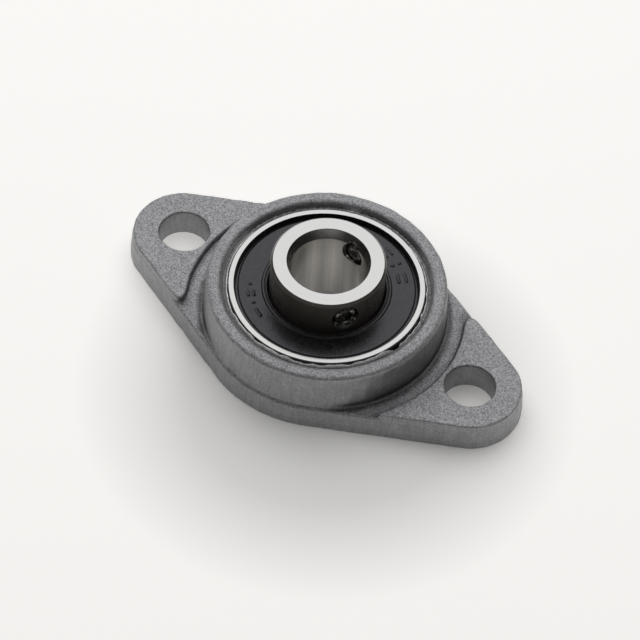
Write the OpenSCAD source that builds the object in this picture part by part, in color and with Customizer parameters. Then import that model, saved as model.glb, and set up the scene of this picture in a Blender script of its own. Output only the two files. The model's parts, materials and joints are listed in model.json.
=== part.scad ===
// Two-bolt flange mount bearing unit: a die-cast zinc housing holds a self-aligning
// insert ball bearing for an 8 mm shaft. Millimetres, +Z up. The origin is on the
// bearing axis, at the mounting face, and the bolt holes lie along X.

/* [Flange] */
// Overall length of the flange
flange_l = 48; // [47:0.25:49]
// Width of the flange across its round middle
flange_w = 27; // [26.75:0.25:28]
// Distance between the two bolt holes
bolt_spacing = 36.5; // [36:0.1:37]
// Diameter of a bolt hole
bolt_hole_d = 5.4; // [4.5:0.1:6]
// Height of the pads around the bolt holes
pad_h = 3.5; // [3:0.1:4]
// Height of the web between the pads
web_h = 2.85; // [2.5:0.05:2.95]
// Radius of the arc, around the bearing axis, where the pads end
pad_arc_r = 14.85; // [14.2:0.05:15.2]
// Draft of the flange's side walls, in degrees
flange_draft = 2.5; // [0.5:0.5:4]

/* [Boss] */
// Diameter of the boss where it leaves the web
boss_d = 26.1; // [25.5:0.1:26.2]
// Height of the boss above the mounting face
boss_h = 7.6; // [7.4:0.1:8]
// Draft of the boss wall, in degrees
boss_draft = 2.5; // [1:0.5:4]
// Diameter of the mouth in the boss's top face
mouth_d = 23; // [22.6:0.1:23.4]

/* [Insert bearing] */
// Diameter of the outer ring's spherical outside
ring_d = 22; // [21.8:0.1:22.2]
// Width of the outer ring
ring_w = 6.8; // [6.6:0.1:7]
// Height of the bearing centre above the mounting face
centre_h = 3.9; // [3.8:0.05:4]
// Bore of the inner ring, the shaft size
bore_d = 8; // [7.5:0.5:8]
// Outer diameter of the inner ring
inner_d = 12.3; // [12.1:0.1:12.4]
// Width of the inner ring
inner_w = 11; // [10.8:0.1:11.5]
// How far the inner ring reaches below the bearing centre
inner_below = 3.6; // [3.5:0.05:3.7]

/* [Balls and cage] */
// Diameter of a ball, 5/32 inch
ball_d = 3.969; // [3.9:0.001:4]
// Diameter of the circle of ball centres
pitch_d = 15; // [14.9:0.05:15.1]
// Thickness of the cage's sheet steel
cage_t = 0.22; // [0.18:0.01:0.24]

/* [Set screws] */
// Diameter of the tapped holes, the tap drill size of an M3 thread
tap_d = 2.5; // [2.4:0.05:2.6]
// Length of a set screw
screw_l = 1.9; // [1.6:0.1:1.95]
// Height of the set screws above the mounting face
screw_h = 9.05; // [8.8:0.05:9.2]
// Angle of the first set screw around the bearing axis
screw_angle = 81; // [0:1:359]
// Angle from the second set screw to the first
screw_spread = 120; // [60:5:120]

/* [Hidden] */
$fn = 96;
ball_count = 7;

// Flange outline: two ears and a round middle, joined by straight tangents
ear_x = bolt_spacing / 2;
ear_r = (flange_l - bolt_spacing) / 2;
middle_r = flange_w / 2;
side_dir = acos((middle_r - ear_r) / ear_x);
side_l = ear_x * sin(side_dir);
side_depth = ear_r;
pad_step_run = 0.3;
// The side walls stand this far inside the true tangent, so that they cut the discs cleanly
side_inset = 0.01;

// Spherical seat of the housing, its mouth and its rear chamfer
seat_gap = 0.03;
seat_r = ring_d / 2 + seat_gap;
seat_top = 6.75;
seat_top_r = sqrt(pow(seat_r, 2) - pow(seat_top - centre_h, 2));
mouth_foot_r = 11.05;
mouth_foot_h = 6.9;
rear_chamfer = 0.45;
rear_chamfer_r = sqrt(pow(seat_r, 2) - pow(centre_h - rear_chamfer, 2));
boss_edge = 0.25;

// Raceways: grooves a little wider than the balls, with a working clearance
ball_r = ball_d / 2;
pitch_r = pitch_d / 2;
race_gap = 0.02;
groove_r = 2.07;
outer_groove_r = pitch_r + ball_r + race_gap - groove_r;
inner_groove_r = pitch_r - ball_r - race_gap + groove_r;
outer_shoulder_r = 8.8;
inner_r = inner_d / 2;
inner_above = inner_w - inner_below;

// Seal, measured from the bearing centre outward along the axis
ledge_z = 2.4;
core_z = 2.62;
bead_z = 2.85;
bead_r = 9.9;
seal_face_z = 3.02;
lip_gap = 0.03;
core_in_r = 6.9;
core_out_r = 9.2;

// Cage: spherical pockets in a ring-shaped ribbon, riveted between the balls
pocket_gap = 0.095;
pocket_r = ball_r + pocket_gap;
ribbon_in_r = 6.5;
ribbon_out_r = 8.5;
rivet_d = 0.6;
rivet_head_d = 1.1;
rivet_head_h = 0.2;

// Set screws: a running clearance in the hole, a countersink over it, a hex socket and a cup point
screw_gap = 0.03;
screw_tip_r = bore_d / 2 + 0.15;
socket_af = 1.5;
socket_depth = 1;
screw_chamfer = 0.25;
sink = 0.4;
cut = 1;

function ball_angle(i) = i * 360 / ball_count;

module at_pitch(angle) {
    rotate([0, 0, angle]) translate([pitch_r, 0, centre_h]) children();
}

// One straight side wall, leaning in by the draft, from the middle to the ear at +X
module side_wall() {
    rotate([0, 0, side_dir - 90])
        translate([0, middle_r - side_inset, 0])
            rotate([flange_draft, 0, 0])
                translate([0, -side_depth, 0])
                    cube([side_l, side_depth, 2 * pad_h]);
}

module drafted_disc(r, h, draft) {
    cylinder(h = h, r1 = r, r2 = r - h * tan(draft));
}

module flange() {
    intersection() {
        union() {
            drafted_disc(middle_r, pad_h, flange_draft);
            for (side = [0, 1]) mirror([side, 0, 0]) {
                translate([ear_x, 0, 0]) drafted_disc(ear_r, pad_h, flange_draft);
                side_wall();
                mirror([0, 1, 0]) side_wall();
            }
        }
        translate([-flange_l, -flange_w, 0]) cube([2 * flange_l, 2 * flange_w, pad_h]);
    }
}

module boss() {
    base_r = boss_d / 2 + web_h * tan(boss_draft);
    edge_r = base_r - (boss_h - boss_edge) * tan(boss_draft);
    rotate_extrude()
        polygon([[0, 0], [base_r, 0], [edge_r, boss_h - boss_edge],
            [edge_r - boss_edge, boss_h], [0, boss_h]]);
}

module housing() {
    color([0.53, 0.53, 0.54])
        difference() {
            union() {
                difference() {
                    flange();
                    translate([0, 0, web_h])
                        cylinder(h = pad_h - web_h, r1 = pad_arc_r, r2 = pad_arc_r + pad_step_run);
                }
                boss();
            }
            translate([0, 0, centre_h]) sphere(r = seat_r);
            rotate_extrude()
                polygon([[0, seat_top], [seat_top_r, seat_top], [mouth_foot_r, mouth_foot_h],
                    [mouth_d / 2, boss_h], [mouth_d / 2, boss_h + cut], [0, boss_h + cut]]);
            cylinder(h = rear_chamfer, r1 = rear_chamfer_r + rear_chamfer, r2 = rear_chamfer_r);
            for (x = [-ear_x, ear_x])
                translate([x, 0, -cut]) cylinder(h = pad_h + 2 * cut, d = bolt_hole_d);
        }
}

// Half of the seal recess in the outer ring's bore, as points (radius, height)
seal_recess = [[outer_shoulder_r - cut, ledge_z], [9.6, ledge_z], [bead_r, 2.6], [bead_r, 2.75],
    [9.75, bead_z], [9.9, ring_w / 2], [9.9, ring_w / 2 + cut], [outer_shoulder_r - cut, ring_w / 2 + cut]];

module outer_ring() {
    color([0.80, 0.79, 0.78])
        translate([0, 0, centre_h])
            rotate_extrude()
                difference() {
                    intersection() {
                        circle(r = ring_d / 2);
                        translate([outer_shoulder_r, -ring_w / 2]) square([ring_d, ring_w]);
                    }
                    translate([outer_groove_r, 0]) circle(r = groove_r);
                    polygon(seal_recess);
                    mirror([0, 1]) polygon(seal_recess);
                }
}

module screw_axis(angle) {
    rotate([0, 0, angle]) translate([0, 0, screw_h]) rotate([0, 90, 0]) children();
}

module inner_ring() {
    mouth = 0.45;
    mouth_l = 1.1;
    edge = 0.25;
    color([0.12, 0.11, 0.10])
        difference() {
            translate([0, 0, centre_h])
                rotate_extrude()
                    difference() {
                        polygon([[bore_d / 2, -inner_below + mouth_l], [bore_d / 2 + mouth, -inner_below],
                            [inner_r - edge, -inner_below], [inner_r, -inner_below + edge],
                            [inner_r, inner_above - edge], [inner_r - edge, inner_above],
                            [bore_d / 2 + mouth, inner_above], [bore_d / 2, inner_above - mouth_l]]);
                        translate([inner_groove_r, 0]) circle(r = groove_r);
                    }
            for (angle = [screw_angle, screw_angle - screw_spread])
                screw_axis(angle) {
                    cylinder(h = ring_d / 2, d = tap_d);
                    translate([0, 0, inner_r - sink])
                        cylinder(h = 2 * sink, r1 = tap_d / 2, r2 = tap_d / 2 + 2 * sink);
                }
        }
}

module ball(i) {
    color([0.85, 0.85, 0.86])
        at_pitch(ball_angle(i)) sphere(d = ball_d);
}

// The front half of the cage, on the +Z side of the ball centres
module cage_half() {
    difference() {
        intersection() {
            union() {
                translate([0, 0, centre_h]) cylinder(h = cage_t, r = ribbon_out_r);
                for (i = [0 : ball_count - 1])
                    at_pitch(ball_angle(i)) sphere(r = pocket_r + cage_t);
            }
            translate([0, 0, centre_h])
                difference() {
                    cylinder(h = ball_d, r = ribbon_out_r);
                    translate([0, 0, -cut]) cylinder(h = ball_d + 2 * cut, r = ribbon_in_r);
                }
        }
        for (i = [0 : ball_count - 1]) {
            at_pitch(ball_angle(i)) sphere(r = pocket_r);
            at_pitch(ball_angle(i + 0.5)) cylinder(h = 4 * cage_t, d = rivet_d, center = true);
        }
    }
}

// Turns a front piece into its rear twin
module behind() {
    translate([0, 0, 2 * centre_h]) mirror([0, 0, 1]) children();
}

module cage_front() {
    color([0.70, 0.66, 0.55]) cage_half();
}

module cage_rear() {
    color([0.66, 0.62, 0.52]) behind() cage_half();
}

module cage_rivets() {
    color([0.60, 0.60, 0.60])
        for (i = [0 : ball_count - 1])
            at_pitch(ball_angle(i + 0.5)) {
                cylinder(h = 2 * cage_t, d = rivet_d, center = true);
                for (side = [0, 1]) mirror([0, 0, side])
                    translate([0, 0, cage_t]) cylinder(h = rivet_head_h, d = rivet_head_d);
            }
}

// Moulded rubber of the front seal: a bead in the ring's groove, a cover and a running lip
module seal_rubber() {
    lip_r = inner_r + lip_gap;
    translate([0, 0, centre_h])
        rotate_extrude()
            polygon([[9.75, bead_z], [bead_r, 2.75], [bead_r, 2.6], [9.6, ledge_z],
                [core_out_r, ledge_z], [core_out_r, core_z], [core_in_r, core_z], [core_in_r, ledge_z],
                [6.6, ledge_z], [lip_r, 2.6], [lip_r, 2.8], [6.35, 2.95], [6.35, 3.15],
                [6.8, 3.15], [6.95, seal_face_z], [9.4, seal_face_z], [9.5, 2.94], [9.5, bead_z]]);
}

// Steel stiffening washer bonded into the front seal
module seal_core() {
    translate([0, 0, centre_h + ledge_z])
        difference() {
            cylinder(h = core_z - ledge_z, r = core_out_r);
            translate([0, 0, -cut]) cylinder(h = core_z - ledge_z + 2 * cut, r = core_in_r);
        }
}

module front_seal_rubber() {
    color([0.28, 0.27, 0.28]) seal_rubber();
}

module front_seal_insert() {
    color([0.55, 0.55, 0.56]) seal_core();
}

module rear_seal_rubber() {
    color([0.28, 0.27, 0.28]) behind() seal_rubber();
}

module rear_seal_insert() {
    color([0.55, 0.55, 0.56]) behind() seal_core();
}

module set_screw(angle) {
    shank_r = tap_d / 2 - screw_gap;
    color([0.14, 0.13, 0.13])
        screw_axis(angle)
            translate([0, 0, screw_tip_r])
                difference() {
                    rotate_extrude()
                        polygon([[0, 0.3], [0.6, 0], [shank_r - screw_chamfer, 0], [shank_r, screw_chamfer],
                            [shank_r, screw_l - screw_chamfer], [shank_r - screw_chamfer, screw_l],
                            [0, screw_l]]);
                    translate([0, 0, screw_l - socket_depth])
                        cylinder(h = socket_depth + cut, d = socket_af / cos(30), $fn = 6);
                }
}

module set_screw_1() {
    set_screw(screw_angle);
}

module set_screw_2() {
    set_screw(screw_angle - screw_spread);
}

housing();
outer_ring();
inner_ring();
for (i = [0 : ball_count - 1])
    ball(i);
cage_front();
cage_rear();
cage_rivets();
front_seal_rubber();
front_seal_insert();
rear_seal_rubber();
rear_seal_insert();
set_screw_1();
set_screw_2();
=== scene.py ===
"""Looks of a flange mount bearing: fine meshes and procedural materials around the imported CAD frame."""
import json
import math

import bpy
import numpy as np
from mathutils import Matrix, Vector


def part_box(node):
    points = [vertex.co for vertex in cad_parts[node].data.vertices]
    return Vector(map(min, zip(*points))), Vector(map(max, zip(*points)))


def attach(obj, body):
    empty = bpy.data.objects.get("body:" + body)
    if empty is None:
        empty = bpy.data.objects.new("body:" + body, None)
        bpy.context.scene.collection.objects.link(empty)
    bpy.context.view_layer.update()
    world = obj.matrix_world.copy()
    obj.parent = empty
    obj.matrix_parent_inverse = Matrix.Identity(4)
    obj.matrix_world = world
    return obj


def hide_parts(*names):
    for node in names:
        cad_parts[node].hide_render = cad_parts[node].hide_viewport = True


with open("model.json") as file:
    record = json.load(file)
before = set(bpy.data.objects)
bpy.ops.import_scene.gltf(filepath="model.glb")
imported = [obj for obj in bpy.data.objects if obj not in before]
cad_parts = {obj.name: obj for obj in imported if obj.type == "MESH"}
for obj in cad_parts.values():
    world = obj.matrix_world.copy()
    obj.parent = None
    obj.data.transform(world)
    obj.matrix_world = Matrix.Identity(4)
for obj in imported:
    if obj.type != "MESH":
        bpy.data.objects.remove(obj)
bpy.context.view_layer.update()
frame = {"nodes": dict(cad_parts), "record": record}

MM = 0.001


# ---------------------------------------------------------------- sizes, in millimetres, from the frame
def box_mm(node):
    """Lowest and highest corner of a CAD node, in millimetres."""
    return [np.array(corner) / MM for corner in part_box(node)]


mounts = {m["name"]: m for m in frame["record"]["mounts"]}
housing_hi = box_mm("housing")[1]
outer_lo, outer_hi = box_mm("outer_ring")
inner_lo, inner_hi = box_mm("inner_ring")

CENTRE_H = (outer_lo[2] + outer_hi[2]) / 2     # height of the bearing centre
RING_R = round(float(outer_hi[0]), 2)          # radius of the outer ring's spherical outside
RING_HALF = (outer_hi[2] - outer_lo[2]) / 2    # half the outer ring's width
INNER_R = round(float(inner_hi[0]), 2)         # outside radius of the inner ring
INNER_TOP = inner_hi[2] - CENTRE_H             # inner ring's ends, from the bearing centre
INNER_BOTTOM = inner_lo[2] - CENTRE_H
BORE_R = mounts["shaft_bore"]["dims"]["r_mm"]
LEAD_IN_L = (INNER_TOP - INNER_BOTTOM - mounts["shaft_bore"]["dims"]["length_mm"]) / 2
LEAD_IN_W = 0.45                               # how much the bore's radius grows over its lead-in
BOSS_H = float(housing_hi[2])
FLANGE_L = 2 * float(housing_hi[0])
FLANGE_W = 27.0                                # the CAD mesh's facets make its box a little narrower
EAR_X = mounts["bolt_holes"]["dims"]["spacing_x_mm"] / 2
HOLE_R = mounts["bolt_holes"]["dims"]["hole_r_mm"]
EAR_R = FLANGE_L / 2 - EAR_X
MIDDLE_R = FLANGE_W / 2
END_FACE_R = math.sqrt(RING_R ** 2 - RING_HALF ** 2)    # outside radius of the outer ring's end faces


# ---------------------------------------------------------------- mesh helpers
FACE_WEIGHT = 80       # how strongly broad faces hold the shading normals


def make_object(name, verts_mm, faces, normals=None):
    """A smooth-shaded mesh object from vertices in millimetres."""
    mesh = bpy.data.meshes.new(name)
    mesh.from_pydata((np.asarray(verts_mm) * MM).tolist(), [], faces)
    mesh.update()
    mesh.polygons.foreach_set("use_smooth", [True] * len(mesh.polygons))
    if normals is not None:
        mesh.normals_split_custom_set_from_vertices(np.asarray(normals).tolist())
    obj = bpy.data.objects.new(name, mesh)
    bpy.context.scene.collection.objects.link(obj)
    return obj


def weigh_normals(obj):
    """Keeps broad faces flat beside their narrow rounded edges."""
    modifier = obj.modifiers.new("face_weighted", "WEIGHTED_NORMAL")
    modifier.weight = FACE_WEIGHT
    modifier.keep_sharp = True


def rounded_profile(corners, arc_steps=4, longest=0.6):
    """A closed outline of (radius, height) points from corners (radius, height, rounding)."""
    points = []
    count = len(corners)
    for i in range(count):
        here = np.array(corners[i][:2], float)
        before = np.array(corners[i - 1][:2], float) - here
        after = np.array(corners[(i + 1) % count][:2], float) - here
        rounding = corners[i][2]
        if rounding == 0:
            points.append(here)
            continue
        before /= np.linalg.norm(before)
        after /= np.linalg.norm(after)
        half = math.acos(np.clip(before @ after, -1, 1)) / 2
        reach = rounding / math.tan(half)
        middle = here + (before + after) / np.linalg.norm(before + after) * rounding / math.sin(half)
        start = here + before * reach - middle
        end = here + after * reach - middle
        sweep = math.pi - 2 * half
        for k in range(arc_steps + 1):
            t = k / arc_steps
            mix = (start * math.sin((1 - t) * sweep) + end * math.sin(t * sweep)) / math.sin(sweep)
            points.append(middle + mix)
    dense = []
    for a, b in zip(points, points[1:] + points[:1]):
        steps = max(1, math.ceil(np.linalg.norm(b - a) / longest))
        dense += [a + (b - a) * k / steps for k in range(steps)]
    return dense


def arc_points(centre, radius, start_deg, end_deg, steps):
    """Points of an arc in the (radius, height) plane, as corners with no rounding."""
    angles = np.radians(np.linspace(start_deg, end_deg, steps + 1))
    return [(centre[0] + radius * math.cos(a), centre[1] + radius * math.sin(a), 0) for a in angles]


def lathe_rows(profile, segments, lift=0.0):
    """One ring of points for each profile point, raised by lift."""
    turn = np.arange(segments) * 2 * math.pi / segments
    x, y = np.cos(turn), np.sin(turn)
    return [np.stack([r * x, r * y, np.full(segments, z + lift)], 1) for r, z in profile]


def skin(rows, closed=True, caps=False):
    """Vertices and faces of a shell through rows of points; caps closes it with a point at each end."""
    segments = len(rows[0])
    verts = np.concatenate(rows)
    last = len(rows) if closed else len(rows) - 1
    faces = []
    for i in range(last):
        a = i * segments
        b = (i + 1) % len(rows) * segments
        faces += [(a + k, a + (k + 1) % segments, b + (k + 1) % segments, b + k) for k in range(segments)]
    if caps:
        ends = np.array([rows[0].mean(0), rows[-1].mean(0)])
        first = len(verts)
        base = (len(rows) - 1) * segments
        verts = np.concatenate([verts, ends])
        faces += [(first, (k + 1) % segments, k) for k in range(segments)]
        faces += [(first + 1, base + k, base + (k + 1) % segments) for k in range(segments)]
    return verts, faces


# ---------------------------------------------------------------- the housing, as a rounded solid field
EDGE_R = 0.32          # rounding of the casting's outer edges
CREASE_R = 0.15        # fillets in its inner corners
BOTTOM_EDGE_R = 0.12
PAD_H = 3.5            # height of the flange at its ears
WEB_H = 2.85           # and round the boss
PAD_ARC_R = 14.85      # where the pads end, round the boss
PAD_STEP_SLOPE = 0.3   # how much the pad's end wall leans
PAD_CORNER_R = (1.9, 0.7)   # plan rounding of its corners where x * y > 0, and where not
FLANGE_DRAFT = math.radians(2.5)
PARTING_H = 1.35       # height of the die's parting line
PARTING_STEP = 0.05    # how far the casting steps in above it
PARTING_SOFTNESS = 0.05     # height over which it does so
BOSS_R = 13.05
BOSS_DRAFT = math.radians(2.5)
BOSS_EDGE_R = 0.5
BOSS_FOOT_R = 0.3      # fillet round its foot
SEAT_R = RING_R + 0.03
MOUTH_R = 11.45        # the boss's mouth, at its top and at its foot
MOUTH_FOOT_R = 11.05
MOUTH_FOOT_H = 6.9
MOUTH_EDGE_R = 0.28
MOUTH_FLOOR_SLOPE = 0.38
SEAT_TOP = 6.75        # height of the spherical seat's upper edge
REAR_CHAMFER = 0.45
HOLE_EDGE_R = 0.16
FIELD_STEP = 0.18      # grid step that the casting is meshed on
WAVES = 14
WAVE_DEPTH = 0.006
WAVE_RATES = (1.2, 5.5)     # slowest and fastest wave, in radians for a millimetre
GRADIENT_STEP = 0.01   # how far apart the field is read for its slope, each way
# How far out from the skin a crease is looked for, for the grime and painted shade, and if the insert counts
# as a wall of it
CREASE_REACHES = ((0.2, True), (0.4, True), (0.5, False), (1.0, False))


def round_max(a, b, r):
    """Where two solids meet, with the edge between them rounded."""
    return np.minimum(-r, np.maximum(a, b)) + np.hypot(np.maximum(r + a, 0), np.maximum(r + b, 0))


def round_min(a, b, r):
    """Two solids joined, with a fillet between them."""
    return np.maximum(r, np.minimum(a, b)) - np.hypot(np.maximum(r - a, 0), np.maximum(r - b, 0))


def outline_distance(x, y):
    """Distance from the flange's outline: two ears and a round middle, joined by tangents."""
    x, y = np.abs(x), np.abs(y)
    nx = (MIDDLE_R - EAR_R) / EAR_X
    ny = math.sqrt(1 - nx * nx)
    along = x * ny - y * nx
    ear = np.hypot(x - EAR_X, y) - EAR_R
    side = x * nx + y * ny - MIDDLE_R
    middle = np.hypot(x, y) - MIDDLE_R
    return np.where(along < 0, middle, np.where(along > EAR_X * ny, ear, side))


wave_rng = np.random.default_rng(8)
wave_dirs = wave_rng.normal(size=(WAVES, 3))
wave_dirs *= (wave_rng.uniform(*WAVE_RATES, WAVES) / np.linalg.norm(wave_dirs, axis=1))[:, None]
wave_phase = wave_rng.uniform(0, 2 * math.pi, WAVES)


def casting_waves(x, y, z):
    """The slight unevenness of a cast skin."""
    total = np.zeros_like(x)
    for (kx, ky, kz), phase in zip(wave_dirs, wave_phase):
        total += np.sin(kx * x + ky * y + kz * z + phase)
    return total * WAVE_DEPTH


def flange_field(x, y, z, r):
    """The flange and its pads, with a step at the parting line and draft above it."""
    above = np.maximum(z - PARTING_H, 0)
    step = PARTING_STEP / (1 + np.exp(-(z - PARTING_H) / PARTING_SOFTNESS))
    side = outline_distance(x, y) + above * math.tan(FLANGE_DRAFT) + step
    pad_arc = (PAD_ARC_R + (z - WEB_H) * PAD_STEP_SLOPE - r) * math.cos(math.atan(PAD_STEP_SLOPE))
    pad_plan = round_max(side, pad_arc, np.where(x * y > 0, *PAD_CORNER_R))
    top = round_min(z - WEB_H, round_max(pad_plan, z - PAD_H, CREASE_R), CREASE_R)
    return round_max(side, top, EDGE_R)


def mouth_field(z, r):
    """The boss's flared mouth above the seat."""
    slope = (MOUTH_R - MOUTH_FOOT_R) / (BOSS_H - MOUTH_FOOT_H)
    wall = (r - MOUTH_FOOT_R - (z - MOUTH_FOOT_H) * slope) / math.hypot(1, slope)
    floor_h = MOUTH_FOOT_H + (r - MOUTH_FOOT_R) * MOUTH_FLOOR_SLOPE
    return np.maximum(wall, (floor_h - z) / math.hypot(1, MOUTH_FLOOR_SLOPE))


def housing_field(x, y, z):
    """Signed distance of the housing, negative inside, in millimetres."""
    r = np.hypot(x, y)
    solid = flange_field(x, y, z, r)
    boss_side = (r - BOSS_R + (z - WEB_H) * math.tan(BOSS_DRAFT)) * math.cos(BOSS_DRAFT)
    solid = round_min(solid, round_max(boss_side, z - BOSS_H, BOSS_EDGE_R), BOSS_FOOT_R)
    solid = solid + casting_waves(x, y, z)
    solid = round_max(solid, -z, BOTTOM_EDGE_R)
    solid = round_max(solid, -mouth_field(z, r), MOUTH_EDGE_R)
    seat = np.sqrt(r * r + (z - CENTRE_H) ** 2) - SEAT_R
    solid = np.maximum(solid, -seat)
    rear_r = math.sqrt(SEAT_R ** 2 - (CENTRE_H - REAR_CHAMFER) ** 2)
    rear = (r - rear_r - REAR_CHAMFER + z) / math.sqrt(2)
    solid = np.maximum(solid, -rear)
    hole = np.hypot(np.abs(x) - EAR_X, y) - HOLE_R
    return round_max(solid, -hole, HOLE_EDGE_R)


def field_gradient(field, points):
    """Unit normals of a field at points, by central differences."""
    grad = np.empty_like(points)
    for axis in range(3):
        ahead, behind = points.copy(), points.copy()
        ahead[:, axis] += GRADIENT_STEP
        behind[:, axis] -= GRADIENT_STEP
        grad[:, axis] = (field(*ahead.T) - field(*behind.T)) / (2 * GRADIENT_STEP)
    length = np.linalg.norm(grad, axis=1, keepdims=True)
    return grad / np.maximum(length, 1e-9)


def edge_crossings(values, cells):
    """For each grid cell, the mean of the points where the field crosses zero on its edges."""
    total = np.zeros((len(cells), 3))
    count = np.zeros(len(cells))
    for axis in range(3):
        others = [i for i in range(3) if i != axis]
        for p in (0, 1):
            for q in (0, 1):
                start = cells.copy()
                start[:, others[0]] += p
                start[:, others[1]] += q
                end = start.copy()
                end[:, axis] += 1
                f0, f1 = values[tuple(start.T)], values[tuple(end.T)]
                crossing = (f0 < 0) != (f1 < 0)
                point = start.astype(float)
                point[:, axis] += np.where(crossing, f0 / np.where(crossing, f0 - f1, 1), 0)
                total[crossing] += point[crossing]
                count[crossing] += 1
    return total / count[:, None]


def net_quads(inside, index):
    """A quad for each grid edge that crosses the surface, through its four cells' vertices."""
    quads = []
    for axis in range(3):
        u, v = (axis + 1) % 3, (axis + 2) % 3
        lower = np.moveaxis(inside, (axis, u, v), (0, 1, 2))
        ids = np.moveaxis(index, (axis, u, v), (0, 1, 2))
        change = lower[:-1, 1:-1, 1:-1] != lower[1:, 1:-1, 1:-1]
        i, j, k = np.nonzero(change)
        quad = np.stack([ids[i, j, k], ids[i, j + 1, k], ids[i, j + 1, k + 1], ids[i, j, k + 1]], 1)
        outward = lower[i, j + 1, k + 1]
        quads.append(np.where(outward[:, None], quad, quad[:, ::-1]))
    return np.concatenate(quads)


def relax_onto(field, verts, quads, rounds):
    """Evens out the vertices' spacing, and pulls them back onto the field's surface after each round."""
    edges = np.concatenate([quads[:, [0, 1]], quads[:, [1, 2]], quads[:, [2, 3]], quads[:, [3, 0]]])
    degree = np.bincount(edges.ravel(), minlength=len(verts))[:, None]
    for _ in range(rounds):
        mean = np.zeros_like(verts)
        for axis in range(3):
            mean[:, axis] = (np.bincount(edges[:, 0], verts[edges[:, 1], axis], len(verts))
                             + np.bincount(edges[:, 1], verts[edges[:, 0], axis], len(verts)))
        verts = 0.5 * verts + 0.5 * mean / degree
        for _ in range(2):
            verts -= field(*verts.T)[:, None] * field_gradient(field, verts)
    return verts


def field_surface(field, lo, hi, step, relax=4):
    """The field's zero surface as quads, by surface nets with relaxed vertices."""
    axes = [np.arange(lo[i], hi[i] + step, step) for i in range(3)]
    values = field(*np.meshgrid(*axes, indexing="ij"))
    inside = values < 0
    shape = np.array(values.shape)
    corner_sum = sum(inside[a:shape[0] - 1 + a, b:shape[1] - 1 + b, c:shape[2] - 1 + c].astype(np.int8)
                     for a in (0, 1) for b in (0, 1) for c in (0, 1))
    active = (corner_sum > 0) & (corner_sum < 8)
    index = np.full(active.shape, -1, np.int64)
    index[active] = np.arange(active.sum())
    verts = edge_crossings(values, np.argwhere(active)) * step + np.array(lo)
    quads = net_quads(inside, index)
    return relax_onto(field, verts, quads, relax), quads


def make_housing():
    """The casting, with its creases marked for the grime and painted shade in its material."""
    margin = 2.3 * FIELD_STEP
    lo = [-FLANGE_L / 2 - margin, -MIDDLE_R - margin, -margin]
    hi = [FLANGE_L / 2 + margin, MIDDLE_R + margin, BOSS_H + margin]
    verts, quads = field_surface(housing_field, lo, hi, FIELD_STEP)
    verts[:, 2] = np.maximum(verts[:, 2], 0)
    normals = field_gradient(housing_field, verts)
    obj = make_object("housing_casting", verts, quads.tolist(), normals)
    mark_crease_grime_and_shade(obj, verts, normals)
    return obj


def insert_field(x, y, z):
    """Signed distance of the insert as the housing sees it, a ball with two flats."""
    up = z - CENTRE_H
    return np.maximum(np.sqrt(x * x + y * y + up * up) - RING_R, np.abs(up) - RING_HALF)


def mark_crease_grime_and_shade(obj, verts, normals):
    """Stores how closed in each point is, from 0 in the open to 1 in a deep crease or by the insert, for
    grime and painted shade there.
    """
    closed = np.zeros(len(verts))
    for reach, by_insert in CREASE_REACHES:
        ahead = (verts + normals * reach).T
        space = housing_field(*ahead)
        if by_insert:
            space = np.minimum(space, insert_field(*ahead))
        closed = np.maximum(closed, 1 - space / reach)
    # The casting's material reads this as grime and painted shade.
    attribute = obj.data.attributes.new("crease", "FLOAT", "POINT")
    attribute.data.foreach_set("value", np.clip(closed, 0, 1))


# Flash standing at the seat's edge, as (first angle, last angle, mean top height, unevenness)
FLASH = [(-192, -16, 7.08, 0.13), (-12, 68, 7.0, 0.24), (104, 113, 7.36, 0.08)]
FLASH_T = 0.1
FLASH_STEP = 0.6       # degrees from one section of it to the next
FLASH_GAP = 0.03       # how far it stands back from the sphere of the seat
FLASH_FOOT = 0.05      # how far it reaches down into the casting
FLASH_LEAST_H = 0.06
FLASH_RAMP = 0.05      # the angle over which it rises at each end, in radians
FLASH_RATES = (5, 12, 26, 44)     # waves of its torn edge in one turn
FLASH_LEAST_WAVE = 0.3     # the weakest wave, where the strongest is 1
FLASH_PHASES = 6.3     # phases are drawn from 0 to this, in radians
# Round its section, as (part of its height, part of its thickness), wider at the foot
FLASH_SECTION = ((0, 0), (0.5, 0), (1, 0), (1, 1), (0.5, 1.3), (0, 1.8))


def make_flash():
    """Thin torn slivers that carry the spherical seat on above its edge, clear of the insert's swing."""
    rng = np.random.default_rng(21)
    hug = SEAT_R + FLASH_GAP
    verts, faces = [], []
    for first, last, top, uneven in FLASH:
        angles = np.radians(np.arange(first, last, FLASH_STEP))
        waves = sum(rng.uniform(FLASH_LEAST_WAVE, 1) * np.sin(k * angles + rng.uniform(0, FLASH_PHASES))
                    for k in FLASH_RATES)
        ends = np.clip(np.minimum(angles - angles[0], angles[-1] - angles) / FLASH_RAMP, 0, 1)
        crest = SEAT_TOP + 0.02 + np.maximum(top - SEAT_TOP + uneven * waves / 2, FLASH_LEAST_H) * ends
        rows = []
        for height, out in FLASH_SECTION:
            z = SEAT_TOP - FLASH_FOOT + (crest - SEAT_TOP + FLASH_FOOT) * height
            r = np.sqrt(hug ** 2 - (z - CENTRE_H) ** 2) + FLASH_T * out
            rows.append(np.stack([r * np.cos(angles), r * np.sin(angles), z], 1))
        section = len(rows)
        base = sum(len(part) for part in verts)
        part = np.stack(rows, 1).reshape(-1, 3)
        verts.append(part)
        for i in range(len(angles) - 1):
            a, b = base + i * section, base + (i + 1) * section
            faces += [(a + k, a + (k + 1) % section, b + (k + 1) % section, b + k) for k in range(section)]
        faces.append(tuple(base + k for k in reversed(range(section))))
        faces.append(tuple(base + (len(angles) - 1) * section + k for k in range(section)))
    return make_object("seat_flash", np.concatenate(verts), faces)


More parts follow.
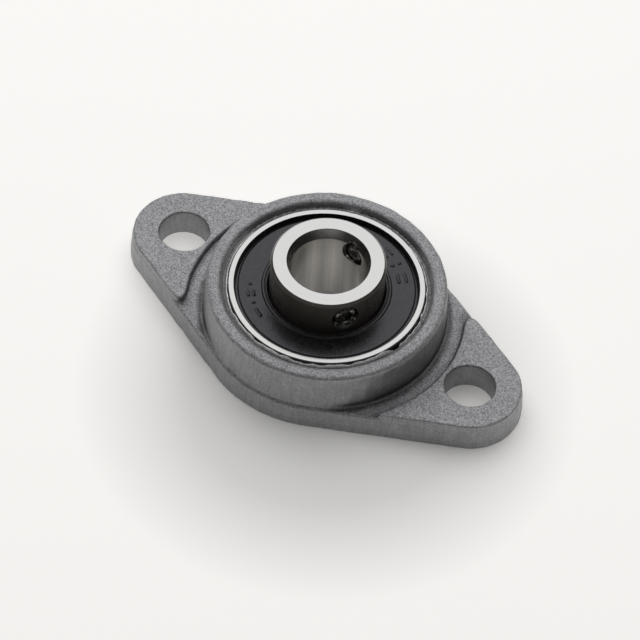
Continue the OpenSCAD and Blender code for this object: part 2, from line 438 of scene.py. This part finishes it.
# ---------------------------------------------------------------- the insert's rings
GROOVE_R = 2.07
OUTER_GROOVE = 7.4345
INNER_GROOVE = 7.5655
SHOULDER_R = 8.8
RECESS_R = 9.9         # inside radius of the outer ring's end face
SEAL_FOOT_H = 2.4      # the seals' inner side, from the bearing's middle
SEAL_BEAD = [(9.75, 2.85, 0), (9.9, 2.75, 0), (9.9, 2.6, 0), (9.6, SEAL_FOOT_H, 0)]
RING_SHADE_H = 2.4         # painted shade lies further out than this along the outer ring
RING_CHAMFER = 0.25    # on the inner ring's outside edges
RING_SEGMENTS = 384
GROOVE_STEPS = 24
RIM_MARGIN = 0.6       # degrees of the outer ring's sphere left to each rounded edge


def make_outer_ring():
    """The outer ring: a spherical outside, a ball groove, and a recess at each end for a seal."""
    rim = math.degrees(math.asin(RING_HALF / RING_R))
    groove = math.degrees(math.acos((SHOULDER_R - OUTER_GROOVE) / GROOVE_R))
    recess = [(RECESS_R, RING_HALF, 0.07), *SEAL_BEAD, (SHOULDER_R, SEAL_FOOT_H, 0.05)]
    corners = arc_points((0, 0), RING_R, -rim + RIM_MARGIN, rim - RIM_MARGIN, GROOVE_STEPS)
    corners += [(END_FACE_R, RING_HALF, 0.06)] + recess
    corners += arc_points((OUTER_GROOVE, 0), GROOVE_R, groove, -groove, GROOVE_STEPS)
    corners += [(r, -z, rounding) for r, z, rounding in reversed(recess)]
    corners += [(END_FACE_R, -RING_HALF, 0.06)]
    profile = rounded_profile(corners, arc_steps=4, longest=0.3)
    verts, faces = skin(lathe_rows(profile, RING_SEGMENTS, CENTRE_H))
    obj = make_object("outer_ring_ground", verts, faces)
    weigh_normals(obj)
    return obj


def screw_places():
    """Angle and height of each set screw, from its CAD node."""
    places = []
    for node in ("set_screw_1", "set_screw_2"):
        lo, hi = box_mm(node)
        middle = (lo + hi) / 2
        places.append((math.atan2(middle[1], middle[0]), middle[2]))
    return places


SCREW_HOLE_R = 1.25    # crest of the tapped hole's thread
SINK = 0.4             # depth of the countersink at its outer end
THREAD_PITCH = 0.5
THREAD_CUT = 0.2       # depth of the tapped thread
THREAD_START = 0.3     # where in its turn the tapped thread starts
THREAD_STEEPNESS = 1.35
THREAD_FLAT = 0.15
CUTTER_INSIDE = 1.2    # how far the hole's cutter goes on past the bore's wall
CUTTER_OUTSIDE = 0.9   # and past the ring's outside


def thread_wave(turns):
    """A thread's outline by turns along its axis, from 0 to 1 and back, with flats at both."""
    saw = np.abs((turns % 1) - 0.5) * 2
    return np.clip(saw * THREAD_STEEPNESS - THREAD_FLAT, 0, 1)


def make_inner_ring():
    """The inner ring: a bore with lead-ins, a ball groove, and two tapped holes cut through its wall."""
    groove = math.degrees(math.acos((INNER_R - INNER_GROOVE) / GROOVE_R))
    corners = [(BORE_R, INNER_BOTTOM + LEAD_IN_L, 0.1), (BORE_R + LEAD_IN_W, INNER_BOTTOM, 0.06),
               (INNER_R - RING_CHAMFER, INNER_BOTTOM, 0.08), (INNER_R, INNER_BOTTOM + RING_CHAMFER, 0.08)]
    corners += arc_points((INNER_GROOVE, 0), GROOVE_R, -groove, -360 + groove, GROOVE_STEPS)
    corners += [(INNER_R, INNER_TOP - RING_CHAMFER, 0.08), (INNER_R - RING_CHAMFER, INNER_TOP, 0.08),
                (BORE_R + LEAD_IN_W, INNER_TOP, 0.06), (BORE_R, INNER_TOP - LEAD_IN_L, 0.1)]
    profile = rounded_profile(corners, arc_steps=4, longest=0.3)
    verts, faces = skin(lathe_rows(profile, RING_SEGMENTS, CENTRE_H))
    ring = make_object("inner_ring_body", verts, faces)
    for angle, height in screw_places():
        cutter = thread_cutter(angle, height)
        modifier = ring.modifiers.new("tapped_hole", "BOOLEAN")
        modifier.operation = "DIFFERENCE"
        modifier.solver = "EXACT"
        modifier.object = cutter
        apply_modifiers(ring)
        bpy.data.objects.remove(cutter)
    weigh_normals(ring)
    return ring


def apply_modifiers(obj):
    """Bakes the object's modifiers into its mesh."""
    graph = bpy.context.evaluated_depsgraph_get()
    mesh = bpy.data.meshes.new_from_object(obj.evaluated_get(graph))
    obj.modifiers.clear()
    obj.data = mesh


def radial_frame(angle, height):
    """Turns a piece built along Z so that it lies along a radius at this angle and height."""
    lay_down = Matrix.Rotation(math.pi / 2, 4, "Y")
    return Matrix.Translation((0, 0, height * MM)) @ Matrix.Rotation(angle, 4, "Z") @ lay_down


def thread_cutter(angle, height):
    """A rod that cuts a tapped hole, with a countersink at its outer end."""
    steps = 130
    segments = 64
    along = np.linspace(BORE_R - CUTTER_INSIDE, INNER_R + CUTTER_OUTSIDE, steps)
    turn = np.arange(segments) * 2 * math.pi / segments
    rows = []
    for s in along:
        turns = s / THREAD_PITCH - turn / (2 * math.pi) + THREAD_START
        radius = SCREW_HOLE_R + THREAD_CUT * thread_wave(turns)
        radius = np.maximum(radius, SCREW_HOLE_R + np.clip(s - INNER_R + SINK, 0, 1))
        rows.append(np.stack([radius * np.cos(turn), radius * np.sin(turn), np.full(segments, s)], 1))
    verts, faces = skin(rows, closed=False, caps=True)
    cutter = make_object("cutter", verts, faces)
    cutter.data.transform(radial_frame(angle, height))
    return cutter


SCREW_L = 1.9
SCREW_R = SCREW_HOLE_R - 0.03
SCREW_CUT = 0.17       # depth of its thread
SCREW_TIP = BORE_R + 0.15
SCREW_CHAMFER = 0.25
CHAMFER_SLOPE = 1.1
SOCKET_APOTHEM = 0.75  # half of the hex key's width
SOCKET_CHAMFER = 0.06
SOCKET_DEPTHS = (SOCKET_CHAMFER, 0.5, 0.95)
CUP = ((0.1, 0.28), (0.55, 0.03), (0.64, 0))      # the cup point, as (radius, depth)
SOCKET_FLOOR = (0.4, 1.1)                         # as (radius, depth)


def make_set_screw(number, angle, height):
    """A socket set screw with a real thread, a hex socket and a cup point."""
    root_r = SCREW_R - SCREW_CUT
    segments = 72
    turn = np.arange(segments) * 2 * math.pi / segments
    hexagon = SOCKET_APOTHEM / np.cos((turn + math.pi / 6) % (math.pi / 3) - math.pi / 6)

    def ring(radius, s):
        radius = np.broadcast_to(radius, segments)
        return np.stack([radius * np.cos(turn), radius * np.sin(turn), np.full(segments, s)], 1)

    end_r = SCREW_R - SCREW_CHAMFER
    rows = [ring(radius, SCREW_TIP + depth) for radius, depth in CUP] + [ring(end_r, SCREW_TIP)]
    for s in np.linspace(0.02, SCREW_L - 0.02, 60):
        body = root_r + (SCREW_R - root_r) * thread_wave(s / THREAD_PITCH - turn / (2 * math.pi))
        chamfer = end_r + min(s, SCREW_L - s) * CHAMFER_SLOPE
        rows.append(ring(np.minimum(body, chamfer), SCREW_TIP + s))
    top = SCREW_TIP + SCREW_L
    rows += [ring(end_r, top), ring(np.minimum(hexagon + SOCKET_CHAMFER, end_r - 0.04), top)]
    rows += [ring(hexagon, top - depth) for depth in SOCKET_DEPTHS]
    rows.append(ring(SOCKET_FLOOR[0], top - SOCKET_FLOOR[1]))
    verts, faces = skin(rows, closed=False, caps=True)
    obj = make_object(f"set_screw_thread_{number}", verts, faces)
    obj.data.transform(radial_frame(angle, height))
    weigh_normals(obj)
    return obj


# ---------------------------------------------------------------- seals
SEAL_SEGMENTS = {True: 640, False: 384}     # with and without moulded marks
SEAL_FACE = 3.02       # height of its face from the bearing's middle
LIP_GAP = 0.03         # between the running lip and the inner ring
WASHER_H = 2.62        # roof of the room for the bonded steel washer
MARK_R = 8.15
# Plain moulded marks, as (kind, angle in degrees, offset along the radius, size): dashes and dots
MARKS = [("dash", 71, 0.35, 0.5), ("dash", 70, -0.35, 0.35), ("dot", 58, 0.4, 0.34), ("dot", 58, -0.4, 0.34),
         ("dash", 44, 0.4, 0.55), ("dash", 44, -0.4, 0.55), ("dot", -148, 0.0, 0.3), ("dash", -139, 0.3, 0.3),
         ("dash", -139, -0.3, 0.3), ("dot", -130, 0.0, 0.3), ("dash", -120, 0.0, 0.55)]
MARK_HEIGHT = 0.11
MARK_EDGE = 0.07       # width of their sloping edge
DASH_HALF_W = 0.13
DOT_R = 0.6            # a dot's radius, as a part of its size


def mark_relief(x, y):
    """Height of the moulded marks on the seal's face."""
    relief = np.zeros_like(x)
    for kind, degrees, offset, size in MARKS:
        a = math.radians(degrees)
        out = x * math.cos(a) + y * math.sin(a) - MARK_R - offset
        across = y * math.cos(a) - x * math.sin(a)
        if kind == "dash":
            distance = np.hypot(out, np.maximum(np.abs(across) - size, 0)) - DASH_HALF_W
        else:
            distance = np.hypot(out, across) - size * DOT_R
        relief = np.maximum(relief, MARK_HEIGHT * np.clip(0.5 - distance / MARK_EDGE, 0, 1))
    return relief


def make_seal(name, facing, marked):
    """A moulded seal: a bead in the ring's recess, a face with raised beads, and a running lip."""
    lip_r = INNER_R + LIP_GAP
    washer_room = [(9.2, SEAL_FOOT_H, 0), (9.2, WASHER_H, 0), (6.9, WASHER_H, 0), (6.9, SEAL_FOOT_H, 0)]
    lip = [(6.6, SEAL_FOOT_H, 0), (lip_r, 2.6, 0.03), (lip_r, 2.8, 0.05), (6.33, 2.98, 0.06)]
    beads = [(6.36, 3.14, 0.05), (6.5, 3.16, 0.05), (6.56, 3.04, 0.04), (6.62, 3.04, 0.04),
             (6.68, 3.15, 0.05), (6.84, 3.13, 0.06)]
    face = [(6.98, SEAL_FACE, 0.06), (9.36, SEAL_FACE, 0.1), (9.5, 2.9, 0.03)]
    corners = SEAL_BEAD + washer_room + lip + beads + face
    profile = rounded_profile(corners, arc_steps=3, longest=0.09)
    rows = lathe_rows(profile, SEAL_SEGMENTS[marked])
    if marked:
        for row in rows:
            on_face = row[0, 2] > SEAL_FACE - 0.02
            if on_face:
                row[:, 2] += mark_relief(row[:, 0], row[:, 1])
    verts, faces = skin(rows)
    if facing > 0:
        faces = [corner_ids[::-1] for corner_ids in faces]
    else:
        verts[:, 2] *= -1
    verts[:, 2] += CENTRE_H
    obj = make_object(name, verts, faces)
    weigh_normals(obj)
    return obj


END_NORMAL = 0.9       # an end face's normal is at least this steep
END_DEPTH = 0.35       # faces further in than this under the outside are ground too
FACE_MARGIN = 0.02


def sort_inner_faces(ring):
    """Material 0 is the blackened outside, 1 the ground ends, 2 the honed bore, 3 the tapped holes."""
    hole_axes = [(np.array([math.cos(a), math.sin(a), 0]), z) for a, z in screw_places()]
    for face in ring.data.polygons:
        x, y, z = np.array(face.center) / MM
        r = math.hypot(x, y)
        kind = 0
        if abs(face.normal.z) > END_NORMAL or r < INNER_R - END_DEPTH:
            kind = 1
        if r < BORE_R + 0.06:
            kind = 2
        for axis, height in hole_axes:
            out = x * axis[0] + y * axis[1]
            off = math.hypot(x * axis[1] - y * axis[0], z - height)
            in_hole = out > 0 and off < SCREW_HOLE_R + THREAD_CUT + FACE_MARGIN
            if in_hole and BORE_R + FACE_MARGIN < r < INNER_R - FACE_MARGIN:
                kind = 3
        face.material_index = kind


# ---------------------------------------------------------------- materials
LINE_DRIFT = 0.15      # how fast turned lines change round the axis


class Shader:
    """A material's node tree, with short calls for the nodes that the materials below share."""

    def __init__(self, name, colour=(0.5, 0.5, 0.5), metallic=0.0, roughness=0.5):
        self.material = bpy.data.materials.new(name)
        self.material.use_nodes = True
        self.nodes = self.material.node_tree.nodes
        self.links = self.material.node_tree.links
        self.bsdf = self.nodes["Principled BSDF"]
        self.set("Base Color", (*colour, 1))
        self.set("Metallic", metallic)
        self.set("Roughness", roughness)
        self.place = self.add("ShaderNodeTexCoord").outputs["Object"]

    def add(self, kind, inputs=None, **settings):
        """Adds a node, sets its properties, and fills its inputs with values or links."""
        node = self.nodes.new(kind)
        for key, value in settings.items():
            setattr(node, key, value)
        for key, value in (inputs or {}).items():
            self.fill(node.inputs[key], value)
        return node

    def fill(self, socket, value):
        """Links the socket to another, or sets its value."""
        if isinstance(value, bpy.types.NodeSocket):
            self.links.new(value, socket)
        else:
            socket.default_value = value

    def set(self, name, value):
        """Fills an input of the shader itself."""
        self.fill(self.bsdf.inputs[name], value)

    def math(self, operation, a, b=0.0, clamp=False):
        """The outcome of a sum, which clamp holds between 0 and 1."""
        node = self.add("ShaderNodeMath", {0: a, 1: b}, operation=operation)
        node.use_clamp = clamp
        return node.outputs[0]

    def swing(self, value, amount):
        """How far value is from its middle, 0.5, times amount."""
        return self.math("MULTIPLY", self.math("SUBTRACT", value, 0.5), amount)

    def span(self, value, low, high, to_low=0.0, to_high=1.0):
        """Maps value from low..high to to_low..to_high, and holds it there."""
        inputs = {"Value": value, "From Min": low, "From Max": high, "To Min": to_low, "To Max": to_high}
        return self.add("ShaderNodeMapRange", inputs).outputs["Result"]

    def noise(self, per_mm, detail=2.0, rough=0.5, where=None):
        """Noise with this many features in a millimetre."""
        inputs = {"Vector": where or self.place, "Scale": per_mm / MM, "Detail": detail, "Roughness": rough}
        return self.add("ShaderNodeTexNoise", inputs).outputs["Fac"]

    def cell_colour(self, per_mm):
        """A random colour for each Voronoi cell, with this many cells in a millimetre."""
        inputs = {"Vector": self.place, "Scale": per_mm / MM}
        return self.add("ShaderNodeTexVoronoi", inputs, feature="F1").outputs["Color"]

    def stretch(self, x, y, z):
        """The place, stretched by these factors."""
        inputs = {0: self.place, 1: (x, y, z)}
        return self.add("ShaderNodeVectorMath", inputs, operation="MULTIPLY").outputs[0]

    def blend(self, factor, a, b):
        """Colour a where factor is 0, and colour b where it is 1."""
        node = self.add("ShaderNodeMix", data_type="RGBA", blend_type="MIX")
        for key, value in (("Factor_Float", factor), ("A_Color", a), ("B_Color", b)):
            socket = next(s for s in node.inputs if s.identifier == key)
            self.fill(socket, value)
        return next(s for s in node.outputs if s.identifier == "Result_Color")

    def attribute(self, name):
        """A number stored on the mesh."""
        return self.add("ShaderNodeAttribute", attribute_name=name).outputs["Fac"]

    def split(self, vector):
        """The vector's three parts."""
        return self.add("ShaderNodeSeparateXYZ", {0: vector}).outputs

    def radius(self):
        """Distance from the Z axis."""
        flat = self.stretch(1, 1, 0)
        return self.add("ShaderNodeVectorMath", {0: flat}, operation="LENGTH").outputs["Value"]

    def turned(self, per_mm):
        """Fine lines left by turning or grinding about the Z axis, on ends and round sides alike."""
        x, y, z = self.split(self.place)
        around = self.math("MULTIPLY", self.math("ARCTAN2", y, x), LINE_DRIFT * MM / per_mm * 4)
        line = self.add("ShaderNodeCombineXYZ", {0: around, 1: self.radius(), 2: z}).outputs[0]
        return self.noise(per_mm, detail=2, rough=0.65, where=line)

    def bump(self, height, depth_mm, strength=1.0, over=None):
        """Height, from 0 to 1, as this depth of relief; over is another bump to add to."""
        inputs = {"Height": height, "Distance": depth_mm * MM, "Strength": strength}
        if over is not None:
            inputs["Normal"] = over
        return self.add("ShaderNodeBump", inputs).outputs["Normal"]


def grey(level, tint=(1, 1, 1)):
    """A colour of this level, tinted."""
    return (level * tint[0], level * tint[1], level * tint[2], 1)


ZINC_TINT = (1.0, 1.0, 1.025)
ZINC_DARK = 0.185
ZINC_LIGHT = 0.60


def cast_zinc():
    """Blasted die-cast zinc: a sparkling grain on broad faces, smoother drawn sides painted a little darker
    as shade, and grime with painted shade darkening the creases.
    """
    s = Shader("cast_zinc", metallic=1.0)
    normal_z = s.split(s.add("ShaderNodeNewGeometry").outputs["Normal"])[2]
    flatness = s.span(s.math("ABSOLUTE", normal_z), 0.35, 0.9)

    def by_slope(on_sides, on_flats):
        return s.span(flatness, 0, 1, on_sides, on_flats)

    grain = s.noise(7.0, detail=4, rough=0.65)
    flake = s.split(s.cell_colour(9.0))[0]
    patches = s.noise(0.35, detail=3, rough=0.55)
    drawn = s.noise(3.0, detail=3, rough=0.6, where=s.stretch(1, 1, 0.12))
    tone = s.math("ADD", s.swing(flake, 0.75), s.swing(grain, 1.0))
    tone = s.math("MULTIPLY", tone, by_slope(0.35, 1.0))
    tone = s.math("ADD", tone, s.swing(patches, 0.12))
    tone = s.math("ADD", tone, s.swing(drawn, by_slope(0.45, 0.0)))
    # The sides are painted darker than the flats, as shade.
    tone = s.math("ADD", tone, by_slope(0.36, 0.5), clamp=True)
    colour = s.blend(tone, grey(ZINC_DARK, ZINC_TINT), grey(ZINC_LIGHT, ZINC_TINT))
    speck = s.span(s.noise(1.6, detail=4, rough=0.7), 0.30, 0.24)
    colour = s.blend(s.math("MULTIPLY", speck, 0.6), colour, grey(0.07))
    # Grime and painted shade, nearly black, in the creases and by the insert.
    grime_and_shade = s.span(s.attribute("crease"), 0.1, 0.75)
    s.set("Base Color", s.blend(s.math("MULTIPLY", grime_and_shade, 0.85), colour, grey(0.02, (1.05, 1.0, 0.95))))
    rough = s.span(grain, 0.3, 0.7, 0.48, 0.66)
    s.set("Roughness", s.math("SUBTRACT", rough, by_slope(0.08, 0.0)))
    height = s.math("ADD", s.math("MULTIPLY", grain, 0.8), s.math("MULTIPLY", flake, 0.25))
    blasted = s.bump(height, 0.14, strength=by_slope(0.16, 0.75))
    s.set("Normal", s.bump(drawn, 0.05, strength=by_slope(0.35, 0.0), over=blasted))
    return s.material


def torn_zinc():
    """Bare zinc where flash has torn or rubbed bright."""
    s = Shader("torn_zinc", metallic=1.0)
    torn = s.noise(4, detail=3, rough=0.7)
    s.set("Base Color", s.blend(s.span(torn, 0.35, 0.65), grey(0.5), grey(0.9, (1, 0.99, 0.96))))
    s.set("Roughness", s.span(torn, 0.3, 0.7, 0.6, 0.4))
    s.set("Normal", s.bump(torn, 0.05, strength=0.5))
    return s.material


RING_SHADE_EDGE = 0.03     # width of the soft edge of the painted shade


def ground_steel(name, colour=0.47, rough=0.2, lines=14, clean_unshaded=None):
    """Ground bearing steel: bright, with fine lines round the axis and faint stains.

    If the last argument gives two radii, painted shade darkens the steel near its ends outside them: in the
    seal recess and round the sphere's edge.
    """
    s = Shader(name, metallic=1.0)
    fine = s.turned(lines)
    stain = s.noise(0.5, detail=4, rough=0.6)
    tone = s.math("ADD", s.swing(fine, 0.5), stain, clamp=True)
    bright = s.blend(tone, grey(colour * 0.86, (1, 0.99, 0.975)), grey(colour, (1, 0.995, 0.985)))
    # Painted shade, brownish black, in the seal recess and round the sphere's edge near the ring's ends.
    if clean_unshaded:
        radius = s.radius()
        height = s.math("ABSOLUTE", s.math("SUBTRACT", s.split(s.place)[2], CENTRE_H * MM))
        within = s.span(radius, clean_unshaded[0] * MM, (clean_unshaded[0] + RING_SHADE_EDGE) * MM, 1.0, 0.0)
        beyond = s.span(radius, clean_unshaded[1] * MM, (clean_unshaded[1] + RING_SHADE_EDGE) * MM)
        near_end = s.span(height, RING_SHADE_H * MM, (RING_SHADE_H + 0.1) * MM)
        painted_ring_shade = s.math("MULTIPLY", s.math("MAXIMUM", within, beyond), near_end)
        bright = s.blend(s.math("MULTIPLY", painted_ring_shade, 0.9), bright, grey(0.02, (1.1, 1.0, 0.9)))
    s.set("Base Color", bright)
    s.set("Roughness", s.span(stain, 0.3, 0.7, rough, rough * 1.45))
    s.set("Normal", s.bump(fine, 0.012, strength=0.35))
    return s.material


def honed_bore():
    """The bore's wall: steel with fine honing round the axis, and reflections drawn out along it painted into
    its colour as light and dark streaks.
    """
    s = Shader("honed_bore", metallic=1.0)
    fine = s.turned(16)
    # Painted reflections: light and dark streaks along the axis.
    painted_reflection_streak = s.span(s.noise(0.8, detail=3, where=s.stretch(1, 1, 0.03)), 0.36, 0.66)
    s.set("Base Color", s.blend(painted_reflection_streak, grey(0.42, (1, 0.97, 0.92)), grey(0.72, (1, 0.975, 0.94))))
    s.set("Roughness", s.span(fine, 0.3, 0.7, 0.18, 0.28))
    s.set("Normal", s.bump(fine, 0.014, strength=0.5))
    return s.material


def black_oxide():
    """Blackened steel, satin and slightly brown, with faint handling marks."""
    s = Shader("black_oxide")
    fine = s.turned(9)
    smear = s.noise(0.7, detail=4, rough=0.55, where=s.stretch(1, 1, 0.4))
    s.set("Base Color", s.blend(smear, grey(0.045, (1.15, 1.0, 0.87)), grey(0.08, (1.15, 1.0, 0.85))))
    s.set("Roughness", s.span(smear, 0.3, 0.7, 0.14, 0.26))
    s.set("Specular IOR Level", 0.9)
    s.set("Normal", s.bump(fine, 0.010, strength=0.25))
    return s.material


def seal_rubber():
    """Moulded nitrile rubber: nearly black, dull, with a trace of dust and mould texture."""
    s = Shader("seal_rubber")
    mould = s.noise(7, detail=3, rough=0.6)
    dust = s.noise(0.6, detail=5, rough=0.65)
    smear = s.noise(2.2, detail=5, rough=0.7)
    clean_unshaded, dusty = grey(0.007, (1.05, 0.94, 0.98)), grey(0.024, (1.05, 0.96, 0.97))
    s.set("Base Color", s.blend(s.span(smear, 0.36, 0.7), clean_unshaded, dusty))
    s.set("Roughness", s.span(dust, 0.3, 0.7, 0.12, 0.24))
    s.set("Specular IOR Level", 0.42)
    s.set("Specular Tint", (1.0, 0.97, 1.04, 1))
    s.set("Normal", s.bump(mould, 0.03, strength=0.5, over=s.bump(dust, 0.06, strength=0.25)))
    return s.material


def black_screw():
    """Blackened screw steel, worn a little towards bare metal."""
    s = Shader("black_screw", metallic=1.0)
    wear = s.noise(3.0, detail=4, rough=0.7)
    black, bare = grey(0.07, (1.0, 0.95, 0.9)), grey(0.6, (1, 0.96, 0.9))
    s.set("Base Color", s.blend(s.span(wear, 0.48, 0.64), black, bare))
    s.set("Roughness", s.span(wear, 0.3, 0.7, 0.36, 0.22))
    s.set("Normal", s.bump(s.noise(9, detail=2), 0.01, strength=0.3))
    return s.material


def polished_ball():
    """A lapped ball: mirror bright with a hair of haze."""
    s = Shader("polished_ball", colour=(0.78, 0.77, 0.76), metallic=1.0)
    haze = s.noise(2.0, detail=3)
    s.set("Roughness", s.span(haze, 0.3, 0.7, 0.05, 0.10))
    return s.material


def pressed_sheet(name, colour, rough):
    """Pressed sheet steel, with rolling lines and a light oil film."""
    s = Shader(name, metallic=1.0)
    rolled = s.noise(6, detail=3, where=s.stretch(1, 0.06, 1))
    s.set("Base Color", s.blend(rolled, grey(colour * 0.75, (1, 0.98, 0.95)), grey(colour, (1, 0.99, 0.97))))
    s.set("Roughness", s.span(rolled, 0.3, 0.7, rough, rough * 1.4))
    s.set("Normal", s.bump(rolled, 0.01, strength=0.3))
    return s.material


def dress(obj, *materials):
    """Gives a bare object these materials, or puts the first of them in every slot it has."""
    if not obj.data.materials:
        for material in materials:
            obj.data.materials.append(material)
        return
    for slot in obj.material_slots:
        slot.material = materials[0]


# ---------------------------------------------------------------- assembly
housing = make_housing()
dress(housing, cast_zinc())
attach(housing, "housing")
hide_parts("housing")

flash = make_flash()
dress(flash, torn_zinc())
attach(flash, "housing")

outer = make_outer_ring()
dress(outer, ground_steel("ground_steel", clean_unshaded=(RECESS_R, END_FACE_R)))
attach(outer, "insert")
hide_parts("outer_ring")

inner = make_inner_ring()
dress(inner, black_oxide(), ground_steel("inner_face_steel"), honed_bore(), black_screw())
sort_inner_faces(inner)
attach(inner, "shaft_ring")
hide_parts("inner_ring")

rubber = seal_rubber()
for side, facing in (("front", 1), ("rear", -1)):
    seal = make_seal(f"{side}_seal_moulding", facing, marked=facing > 0)
    dress(seal, rubber)
    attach(seal, "insert")
    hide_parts(f"{side}_seal_rubber")

screw_black = black_screw()
for number, (angle, height) in enumerate(screw_places(), 1):
    screw = make_set_screw(number, angle, height)
    dress(screw, screw_black)
    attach(screw, f"screw_{number}")
    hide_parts(f"set_screw_{number}")

# Looks for the nodes that keep their CAD mesh, by a part of the name; rivets come before the cage
kept_looks = {"ball": polished_ball(),
              "cage_rivets": pressed_sheet("rivet_steel", 0.6, 0.3),
              "cage": pressed_sheet("cage_steel", 0.55, 0.26),
              "seal_insert": pressed_sheet("seal_core_steel", 0.4, 0.35)}
for node, obj in frame["nodes"].items():
    look = next((kept_looks[key] for key in kept_looks if key in node), None)
    if look:
        dress(obj, look)


# ---------------------------------------------------------------- floor, light and camera
FLOOR_GLOW = 0.42
SHADE_GLOW = 0.15
SHADE_PLACE = (5, -7)  # middle of the floor's shade, in millimetres
SHADE_IN = 15          # the floor glows less inside this radius, and fully outside the next
SHADE_OUT = 27
FLOOR_HALF = 3         # half the floor's side, in metres
SKY_LOW = 0.12         # where the studio's light begins, up from the horizon, and where it is full
SKY_HIGH = 0.75
SKY_STRENGTH = 0.25


def make_floor():
    """A sheet of paper under the object that glows, less so close round it."""
    half = FLOOR_HALF
    corners = [(-half, -half, 0), (half, -half, 0), (half, half, 0), (-half, half, 0)]
    mesh = bpy.data.meshes.new("floor")
    mesh.from_pydata(corners, [], [(0, 1, 2, 3)])
    floor = bpy.data.objects.new("floor", mesh)
    paper = Shader("lit_paper", colour=(0.86, 0.85, 0.83), roughness=0.9)
    paper.set("Emission Color", (1.0, 0.985, 0.955, 1))
    middle = (SHADE_PLACE[0] * MM, SHADE_PLACE[1] * MM, 0)
    distance = paper.add("ShaderNodeVectorMath", {0: paper.place, 1: middle}, operation="DISTANCE")
    away = distance.outputs["Value"]
    paper.set("Emission Strength", paper.span(away, SHADE_IN * MM, SHADE_OUT * MM, SHADE_GLOW, FLOOR_GLOW))
    dress(floor, paper.material)
    bpy.context.scene.collection.objects.link(floor)


make_floor()


def soft_light(name, azimuth, elevation, distance, size, power):
    """A square soft box that faces the object from this direction, in degrees and metres."""
    light = bpy.data.lights.new(name, "AREA")
    light.shape = "SQUARE"
    light.size = size
    light.energy = power
    obj = bpy.data.objects.new(name, light)
    a, e = math.radians(azimuth), math.radians(elevation)
    place = Vector((math.cos(a) * math.cos(e), math.sin(a) * math.cos(e), math.sin(e))) * distance
    obj.location = place
    obj.rotation_euler = (-place).to_track_quat("-Z", "Y").to_euler()
    bpy.context.scene.collection.objects.link(obj)


soft_light("key", azimuth=128, elevation=52, distance=0.6, size=0.85, power=3.2)


def make_world():
    """A soft studio: light overhead, dark round the horizon."""
    world = bpy.data.worlds.new("studio")
    world.use_nodes = True
    nodes, links = world.node_tree.nodes, world.node_tree.links
    place = nodes.new("ShaderNodeTexCoord").outputs["Generated"]
    split = nodes.new("ShaderNodeSeparateXYZ")
    links.new(place, split.inputs[0])
    ramp = nodes.new("ShaderNodeValToRGB")
    ramp.color_ramp.interpolation = "EASE"
    low, high = ramp.color_ramp.elements
    low.position = SKY_LOW
    low.color = (0.03, 0.03, 0.03, 1)
    high.position = SKY_HIGH
    high.color = (0.75, 0.76, 0.78, 1)
    links.new(split.outputs[2], ramp.inputs[0])
    links.new(ramp.outputs[0], nodes["Background"].inputs["Color"])
    nodes["Background"].inputs["Strength"].default_value = SKY_STRENGTH
    bpy.context.scene.world = world


make_world()

CAMERA_AZIMUTH = math.radians(29.608)
CAMERA_ELEVATION = math.radians(51.428)
CAMERA_ROLL = math.radians(4.514)
CAMERA_DISTANCE = 373.378      # from its target; all in millimetres
CAMERA_LENS = 210.57
CAMERA_SENSOR = 36
CAMERA_TARGET = Vector((8.450, -15.764, 23.681))


def make_camera():
    """A long lens that looks down at its target, a little rolled."""
    camera = bpy.data.objects.new("camera", bpy.data.cameras.new("camera"))
    camera.data.lens = CAMERA_LENS
    camera.data.sensor_width = CAMERA_SENSOR
    camera.data.clip_start = 0.01
    back = Vector((math.sin(CAMERA_AZIMUTH) * math.cos(CAMERA_ELEVATION),
                   -math.cos(CAMERA_AZIMUTH) * math.cos(CAMERA_ELEVATION), math.sin(CAMERA_ELEVATION)))
    right = Vector((0, 0, 1)).cross(back).normalized()
    up = back.cross(right)
    rolled_right = right * math.cos(CAMERA_ROLL) + up * math.sin(CAMERA_ROLL)
    rolled_up = up * math.cos(CAMERA_ROLL) - right * math.sin(CAMERA_ROLL)
    aim = Matrix((rolled_right, rolled_up, back)).transposed().to_4x4()
    camera.matrix_world = Matrix.Translation((CAMERA_TARGET + back * CAMERA_DISTANCE) * MM) @ aim
    bpy.context.scene.collection.objects.link(camera)
    bpy.context.scene.camera = camera


make_camera()
bpy.context.scene.view_settings.view_transform = "Standard"
